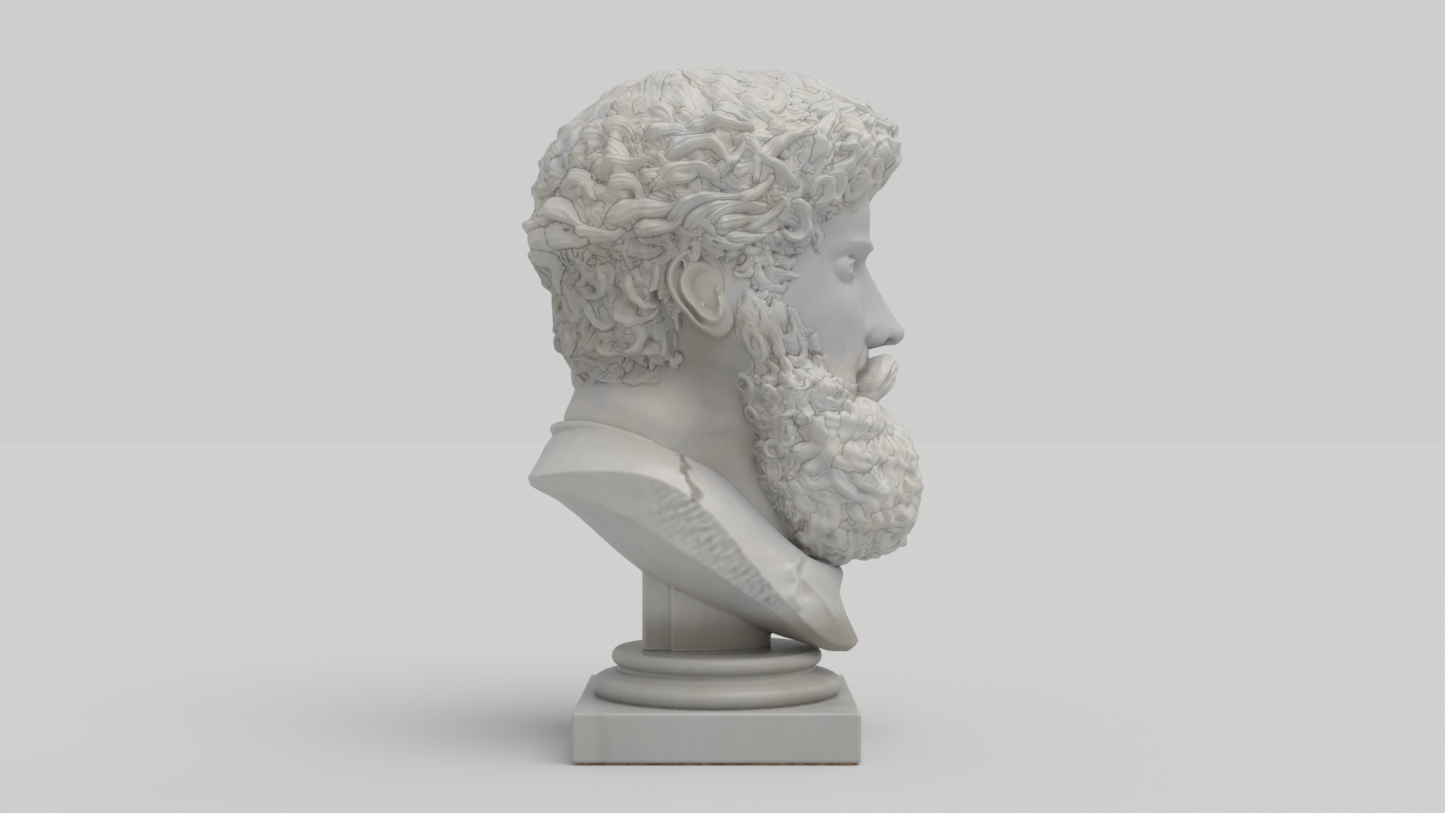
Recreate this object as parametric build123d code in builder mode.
"""A marble portrait bust on a turned socle and a square plinth, as the setter assembles it.

Four stones and the metal, bedding and cork that hold them together: the plinth, the turned socle, the chest
with its rear pier, and the head, which is carved for insertion and let into the chest on a tenon. One
threaded rod runs from a counterbore under the plinth, up through the socle and into the pier.

Millimetres. Origin on the underside, at the plinth's centre. +Z is up and the bust faces -Y, so a place is
given as a distance "front" of the centre, which is -Y. X is left and right.
"""

import os
from math import cos, radians, sin

from build123d import *

# Driving dimensions.
plinth_side = 200.0
total_height = 497.0
head_height = 250.0  # chin to crown of the skull, a little over life size

# Plinth and socle.
cork_thickness = 1.5
cork_inset = 2.5
plinth_top = 36.5
plinth_ease = 2.5
bed_thickness = 0.8
socle_foot = plinth_top + bed_thickness
socle_top = 70.0
lower_torus_radius = 92.0
upper_torus_radius = 77.5
scotia_radius = 72.5

# Chest: a keeled hull under a sloping skin, on a pier of D-shaped plan. Each row is a cross-section, from the
# back to the front: front, then half width and height at the keel, arm-cut crease, rim, shoulder and top.
chest_rows = [
    (-139.0, (16.0, 192.0), (28.0, 193.0), (30.0, 197.0), (18.0, 199.0), (8.0, 200.0)),
    (-122.0, (34.0, 184.0), (66.0, 190.0), (71.0, 200.0), (46.0, 222.0), (20.0, 229.0)),
    (-80.0, (34.0, 149.0), (96.0, 182.0), (103.0, 204.0), (68.0, 217.0), (30.0, 222.0)),
    (-54.0, (35.0, 123.0), (103.0, 167.0), (111.0, 202.0), (72.0, 217.0), (30.0, 220.0)),
    (-20.0, (36.0, 116.0), (104.0, 145.0), (112.0, 188.0), (72.0, 205.0), (30.0, 206.0)),
    (10.0, (36.0, 96.0), (94.0, 127.0), (105.0, 162.0), (68.0, 180.0), (30.0, 178.0)),
    (42.0, (34.0, 80.0), (76.0, 103.0), (84.0, 121.0), (56.0, 148.0), (22.0, 150.0)),
    (76.0, (22.0, 73.0), (44.0, 83.0), (50.0, 93.0), (36.0, 126.0), (14.0, 132.0)),
    (94.0, (12.0, 70.0), (22.0, 74.0), (28.0, 82.0), (24.0, 104.0), (9.0, 121.0)),
    (104.0, (4.0, 74.0), (8.0, 75.0), (9.0, 78.0), (7.0, 86.0), (3.0, 88.0)),
]
pier_foot = socle_top + bed_thickness
pier_reach = 138.0
pier_back = 54.0
pier_slab = 21.0
pier_slab_half_width = 31.0
pier_half_width = 37.0
pier_nose = 73.0

# Setting metal.
rod_radius = 6.0
rod_hole_radius = 6.5
rod_bottom = 4.0
rod_top = 122.0
grout_radius = 9.0
counterbore_radius = 17.0
counterbore_top = 17.0
washer_radius = 15.0
washer_thickness = 2.5
nut_across_flats = 19.0
nut_height = 8.5
pin_radius = 4.0
pin_length = 30.0
pin_spacing = 90.0

# Neck: let into a socket in the chest, on an axis that leans back as it goes down. Each row: lean of the
# section's plane in degrees, front and height of its middle, half width and half length.
neck_rows = [
    (26.0, -24.0, 158.0, 50.0, 72.0),
    (24.0, -27.0, 196.0, 62.0, 92.0),
    (14.0, -33.0, 250.0, 62.0, 73.0),
    (0.0, -33.0, 300.0, 56.0, 62.0),
]
dowel_radius = 8.0
dowel_in_chest = 22.0
dowel_in_head = 60.0

# Head, from the chin up. Each row: height, front, back, half width.
chin_height = 222.0
crown_height = chin_height + head_height
hair_rows = [
    (264.0, -20.0, -104.0, 58.0),
    (297.0, 22.0, -120.0, 76.0),
    (338.0, 64.0, -130.0, 89.0),
    (382.0, 98.0, -142.0, 99.0),
    (415.0, 124.0, -137.0, 102.0),
    (440.0, 137.0, -122.0, 97.0),
    (462.0, 114.0, -98.0, 86.0),
    (480.0, 88.0, -74.0, 69.0),
    (491.0, 66.0, -50.0, 50.0),
    (total_height, 40.0, -26.0, 26.0),
]
face_rows = [
    (chin_height + 0.03 * head_height, 106.0, -10.0, 46.0),
    (chin_height + 0.16 * head_height, 113.0, -30.0, 62.0),
    (chin_height + 0.28 * head_height, 112.0, -45.0, 70.0),
    (chin_height + 0.43 * head_height, 108.0, -50.0, 74.0),
    (chin_height + 0.56 * head_height, 113.0, -50.0, 76.0),
    (chin_height + 0.72 * head_height, 112.0, -50.0, 76.0),
    (chin_height + 0.82 * head_height, 104.0, -50.0, 74.0),
]
beard_rows = [
    (130.0, 118.0, 78.0, 24.0),
    (147.0, 139.0, 60.0, 41.0),
    (174.0, 145.0, 42.0, 56.0),
    (208.0, 145.0, 20.0, 66.0),
    (240.0, 132.0, 4.0, 74.0),
    (275.0, 120.0, -8.0, 80.0),
    (305.0, 92.0, -12.0, 82.0),
    (328.0, 60.0, -6.0, 78.0),
]
nose_base = chin_height + 0.28 * head_height
nose_bridge = chin_height + 0.53 * head_height
nose_tip_front = 139.0
nose_half_width = 19.0
ear_height = 68.0
ear_front = -16.0
ear_length = 38.0
ear_half_width = 88.0

# The beard hangs just clear of the chest, above a plane that leans like it.
beard_clearance_lean = 26.5
beard_clearance_height = 174.0

os.makedirs("parts", exist_ok=True)


def leaning_plane(lean, front, height):
    """A plane through a point on the middle plane of the bust, tipped down to the front by lean degrees."""
    slope = radians(lean)
    return Plane(origin=(0, -front, height), x_dir=(1, 0, 0), z_dir=(0, -sin(slope), cos(slope)))


def finish(node, name):
    """Names a finished piece and writes it."""
    node.part.label = name
    export_step(node.part, f"parts/{name}.step")


def pin_places():
    """The two anti-rotation pins between plinth and socle, left and right of the rod."""
    return GridLocations(pin_spacing, 1, 2, 1)


# Pier plan: a square-cornered slab at the back and a round nose to the front.
pier_shoulder = pier_back - pier_slab
with BuildSketch() as pier_plan:
    with Locations((0, pier_shoulder + pier_slab / 2)):
        Rectangle(2 * pier_slab_half_width, pier_slab)
    with Locations((0, pier_shoulder)):
        Ellipse(pier_half_width, pier_nose)
    with Locations((0, pier_shoulder + pier_nose / 2)):
        Rectangle(2 * pier_half_width, pier_nose, mode=Mode.SUBTRACT)
    with Locations((0, pier_shoulder + pier_slab / 2)):
        Rectangle(2 * pier_slab_half_width, pier_slab)

# Cork sheet: glued under the plinth, so that the stone doesn't scratch what it stands on.
with BuildPart() as cork_base:
    with BuildSketch():
        RectangleRounded(plinth_side - 2 * cork_inset, plinth_side - 2 * cork_inset, 4)
    extrude(amount=cork_thickness)
finish(cork_base, "cork_base")

# Plinth: a square slab with eased edges, counterbored from below for the nut.
with BuildPart() as plinth:
    with BuildSketch(Plane.XY.offset(cork_thickness)):
        Rectangle(plinth_side, plinth_side)
    extrude(amount=plinth_top - cork_thickness)
    fillet(plinth.edges(), radius=plinth_ease)
    with BuildSketch(Plane.XY.offset(cork_thickness)):
        Circle(counterbore_radius)
    extrude(amount=counterbore_top - cork_thickness, mode=Mode.SUBTRACT)
    with BuildSketch(Plane.XY.offset(cork_thickness)):
        Circle(rod_hole_radius)
    extrude(amount=plinth_top, mode=Mode.SUBTRACT)
    with BuildSketch(Plane.XY.offset(plinth_top)):
        with pin_places():
            Circle(pin_radius)
    extrude(amount=-pin_length / 2, mode=Mode.SUBTRACT)
finish(plinth, "plinth")

# Socle bed: the thin lime-putty joint between plinth and socle.
socle_foot_radius = lower_torus_radius - 4.0
with BuildPart() as socle_bed:
    with BuildSketch(Plane.XY.offset(plinth_top)):
        Circle(socle_foot_radius)
        Circle(rod_hole_radius, mode=Mode.SUBTRACT)
        with pin_places():
            Circle(pin_radius, mode=Mode.SUBTRACT)
    extrude(amount=bed_thickness)
finish(socle_bed, "socle_bed")

# Socle: lower torus, sloping shoulder, fillet, scotia and upper torus, turned in one piece.
lower_torus_middle = socle_foot + 7.0
shoulder_top = socle_foot + 17.5
scotia_middle = shoulder_top + 2.8
scotia_top = shoulder_top + 4.6
with BuildPart() as socle:
    with BuildSketch(Plane.XZ):
        with BuildLine():
            Line((0, socle_foot), (socle_foot_radius, socle_foot))
            ThreePointArc(
                (socle_foot_radius, socle_foot),
                (lower_torus_radius, lower_torus_middle),
                (lower_torus_radius - 5.0, lower_torus_middle + 6.0),
            )
            Spline(
                (lower_torus_radius - 5.0, lower_torus_middle + 6.0),
                (scotia_radius + 6.0, shoulder_top - 1.6),
                (scotia_radius + 2.2, shoulder_top),
                tangents=[(-0.9, 0.75), (-1.0, 0.35)],
            )
            ThreePointArc(
                (scotia_radius + 2.2, shoulder_top),
                (scotia_radius, scotia_middle),
                (scotia_radius + 2.4, scotia_top),
            )
            ThreePointArc(
                (scotia_radius + 2.4, scotia_top),
                (upper_torus_radius, (scotia_top + socle_top) / 2),
                (upper_torus_radius - 3.4, socle_top),
            )
            Line((upper_torus_radius - 3.4, socle_top), (0, socle_top))
            Line((0, socle_top), (0, socle_foot))
        make_face()
    revolve(axis=Axis.Z)
    with BuildSketch(Plane.XY.offset(socle_foot)):
        Circle(rod_hole_radius)
    extrude(amount=socle_top - socle_foot, mode=Mode.SUBTRACT)
    with BuildSketch(Plane.XY.offset(socle_foot)):
        with pin_places():
            Circle(pin_radius)
    extrude(amount=pin_length / 2 - bed_thickness, mode=Mode.SUBTRACT)
finish(socle, "socle")

# Socle pins: two short stainless pins that stop the socle turning on the plinth.
with BuildPart() as socle_pins:
    with BuildSketch(Plane.XY.offset(plinth_top - pin_length / 2)):
        with pin_places():
            Circle(pin_radius)
    extrude(amount=pin_length)
finish(socle_pins, "socle_pins")

# Pier bed: the joint between the socle and the pier's foot.
with BuildPart() as pier_bed:
    with BuildSketch(Plane.XY.offset(socle_top)):
        add(pier_plan.sketch)
        Circle(grout_radius, mode=Mode.SUBTRACT)
    extrude(amount=bed_thickness)
finish(pier_bed, "pier_bed")

# Neck and its socket: the same loft twice, the socket larger by the bed all round and below.
neck_lean, neck_front, neck_height = neck_rows[0][:3]
neck_solids = []
for grow in (0.0, bed_thickness):
    with BuildPart() as neck:
        for lean, front, height, half_width, half_length in neck_rows:
            drop = grow if height == neck_height else 0.0
            with BuildSketch(leaning_plane(lean, front, height - drop)):
                Ellipse(half_width + grow, half_length + grow)
        loft()
    neck_solids.append(neck.part)
neck_core, neck_socket = neck_solids
dowel_plane = leaning_plane(neck_lean, neck_front, neck_height)

# Chest: keeled hull, arm cuts and sloping skin, with the pier carved in the same stone.
with BuildPart() as chest:
    for front, *corners in chest_rows:
        outline = [(-x, z) for x, z in corners] + [(x, z) for x, z in reversed(corners)]
        with BuildSketch(Plane.XZ.offset(front)):
            Polygon(*outline, align=None)
    loft(ruled=True)
    with BuildSketch(Plane.XY.offset(pier_foot)):
        add(pier_plan.sketch)
    extrude(amount=pier_reach - pier_foot)
chest_block = chest.part
with BuildPart() as chest:
    add(chest_block)
    add(neck_socket, mode=Mode.SUBTRACT)
    with BuildSketch(Plane.XY.offset(pier_foot)):
        Circle(grout_radius)
    extrude(amount=rod_top - pier_foot, mode=Mode.SUBTRACT)
    with BuildSketch(dowel_plane):
        Circle(dowel_radius)
    extrude(amount=-dowel_in_chest, mode=Mode.SUBTRACT)
finish(chest, "chest")

# Rod grout: the resin that anchors the rod in the pier's blind hole.
with BuildPart() as rod_grout:
    with BuildSketch(Plane.XY.offset(socle_top)):
        Circle(grout_radius)
        Circle(rod_radius, mode=Mode.SUBTRACT)
    extrude(amount=rod_top - socle_top)
finish(rod_grout, "rod_grout")

# Main rod: stainless threaded rod, drawn plain at its thread's outer diameter.
with BuildPart() as main_rod:
    with BuildSketch(Plane.XY.offset(rod_bottom)):
        Circle(rod_radius)
    extrude(amount=rod_top - rod_bottom)
    chamfer(main_rod.edges().group_by(Axis.Z)[0], length=1.0)
finish(main_rod, "main_rod")

# Washer and nut: in the plinth's counterbore, drawn up against its ceiling.
with BuildPart() as rod_washer:
    with BuildSketch(Plane.XY.offset(counterbore_top - washer_thickness)):
        Circle(washer_radius)
        Circle(rod_hole_radius, mode=Mode.SUBTRACT)
    extrude(amount=washer_thickness)
finish(rod_washer, "rod_washer")

nut_top = counterbore_top - washer_thickness
with BuildPart() as rod_nut:
    with BuildSketch(Plane.XY.offset(nut_top - nut_height)):
        RegularPolygon(nut_across_flats / 2, 6, major_radius=False)
        Circle(rod_radius + 0.05, mode=Mode.SUBTRACT)
    extrude(amount=nut_height)
finish(rod_nut, "rod_nut")

# Neck bed: the cup of lime putty between the neck and its socket.
with BuildPart() as neck_bed:
    add(neck_socket)
    add(neck_core, mode=Mode.SUBTRACT)
    add(chest_block, mode=Mode.INTERSECT)
    with BuildSketch(dowel_plane):
        Circle(dowel_radius)
    extrude(amount=-2 * bed_thickness, mode=Mode.SUBTRACT)
finish(neck_bed, "neck_bed")

# Head: neck, face, beard and hair in one stone, with a dowel hole up the middle of the neck.
with BuildPart() as head:
    for rows in (face_rows, beard_rows, hair_rows):
        for height, front, back, half_width in rows:
            with BuildSketch(Plane.XY.offset(height)):
                with Locations((0, -(front + back) / 2)):
                    Ellipse(half_width, (front - back) / 2)
        loft()
    with BuildSketch(Plane.YZ):
        with BuildLine():
            Polyline(
                (-100, nose_bridge),
                (-112, nose_bridge),
                (-nose_tip_front, nose_base + 10),
                (-nose_tip_front + 4, nose_base),
                (-100, nose_base),
                close=True,
            )
        make_face()
    extrude(amount=nose_half_width, both=True, taper=12)
    with BuildSketch(Plane.YZ):
        with Locations((-ear_front, nose_base + ear_height / 2)):
            Ellipse(ear_length / 2, ear_height / 2)
    extrude(amount=ear_half_width, both=True)
    split(bisect_by=leaning_plane(beard_clearance_lean, 0, beard_clearance_height), keep=Keep.TOP)
    add(neck_core)
    with BuildSketch(dowel_plane):
        Circle(dowel_radius)
    extrude(amount=dowel_in_head, mode=Mode.SUBTRACT)
finish(head, "head")

# Head dowel: a bronze pin on the neck joint's axis.
with BuildPart() as head_dowel:
    with BuildSketch(dowel_plane.offset(-dowel_in_chest)):
        Circle(dowel_radius)
    extrude(amount=dowel_in_chest + dowel_in_head)
finish(head_dowel, "head_dowel")
